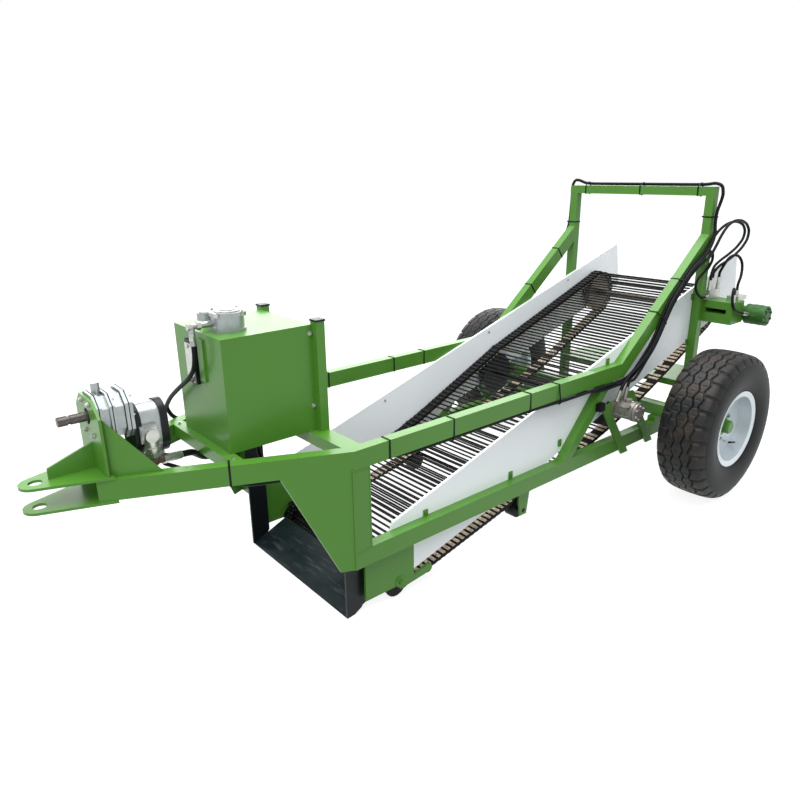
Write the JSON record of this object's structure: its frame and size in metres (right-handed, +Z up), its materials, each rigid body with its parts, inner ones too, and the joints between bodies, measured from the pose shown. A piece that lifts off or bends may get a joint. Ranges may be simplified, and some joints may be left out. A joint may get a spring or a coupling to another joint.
{
  "type": "root crop harvester",
  "caption": "Trailed root crop harvester: share, rising rod web between side boards, oil tank and pump on the drawbar, and a gantry over the axle.",
  "frame": {"origin": "middle of the footprint at ground level", "axes": "+Z up, -Y the direction of travel (hitch end), +X the machine's left side"},
  "size_m": [1.926, 4.218, 1.7353],
  "materials": {
    "green_paint": "gloss",
    "white_paint": "satin",
    "black_paint": "satin",
    "web_steel": "satin",
    "bare_steel": "machined",
    "black_rubber": "matte",
    "cast_aluminium": "cast",
    "silver_iron": "satin",
    "zinc_steel": "plated",
    "pipe_paint": "satin",
    "rim_paint": "satin",
    "tyre_rubber": "matte"
  },
  "bodies": {
    "chassis": {"agitator": "black_paint", "agitator_brackets": "green_paint", "agitator_motor": "silver_iron", "axle_beam": "green_paint", "axle_pads": "green_paint", "axle_stubs": "bare_steel", "bypass_hose": "black_rubber", "drain_hose": "black_rubber", "drawbar_rails": "green_paint", "drive_bearings": "black_paint", "drive_hose": "black_rubber", "drive_housing": "green_paint", "drive_motor": "green_paint", "drive_ports": "zinc_steel", "drive_shaft": "bare_steel", "feed_hose": "black_rubber", "front_plates": "green_paint", "front_posts": "green_paint", "front_walls": "green_paint", "gantry_bar": "green_paint", "gantry_braces": "green_paint", "gantry_posts": "green_paint", "gearbox_stand": "green_paint", "hitch_plates": "green_paint", "hydraulic_pump": "cast_aluminium", "level_gauge": "black_paint", "lower_rails": "green_paint", "nose_arms": "green_paint", "nose_roller": "black_rubber", "oil_tank": "green_paint", "post_caps": "black_paint", "pressure_hose": "black_rubber", "pump_elbow": "pipe_paint", "pump_gearbox": "cast_aluminium", "pump_outlet": "zinc_steel", "rear_pan": "green_paint", "return_filter": "cast_aluminium", "return_hose": "black_rubber", "return_rollers": "black_rubber", "roller_hangers": "green_paint", "share_blade": "black_paint", "share_cheeks": "black_paint", "side_boards": "white_paint", "side_braces": "green_paint", "stand_gussets": "green_paint", "suction_hose": "black_rubber", "tank_beams": "green_paint", "tank_breather": "cast_aluminium", "tank_posts": "green_paint", "upper_rails": "green_paint", "valve_bracket": "green_paint", "valve_manifold": "zinc_steel", "web": "web_steel"},
    "wheel_left": {"wheel_rim_left": "rim_paint", "wheel_hub_left": "green_paint", "tyre_left": "tyre_rubber"},
    "wheel_right": {"wheel_rim_right": "rim_paint", "wheel_hub_right": "green_paint", "tyre_right": "tyre_rubber"},
    "pto_shaft": {"input_shaft": "bare_steel"}
  },
  "joints": [
    {"name": "wheel_left_spin", "type": "hinge", "parent": "chassis", "child": "wheel_left", "pos_m": [0.818, 1.229, 0.42], "axis": [1, 0, 0], "continuous": true},
    {"name": "wheel_right_spin", "type": "hinge", "parent": "chassis", "child": "wheel_right", "pos_m": [-0.818, 1.229, 0.42], "axis": [1, 0, 0], "continuous": true},
    {"name": "pto_spin", "type": "hinge", "parent": "chassis", "child": "pto_shaft", "pos_m": [0, -1.871, 1], "axis": [0, 1, 0], "continuous": true}
  ]
}
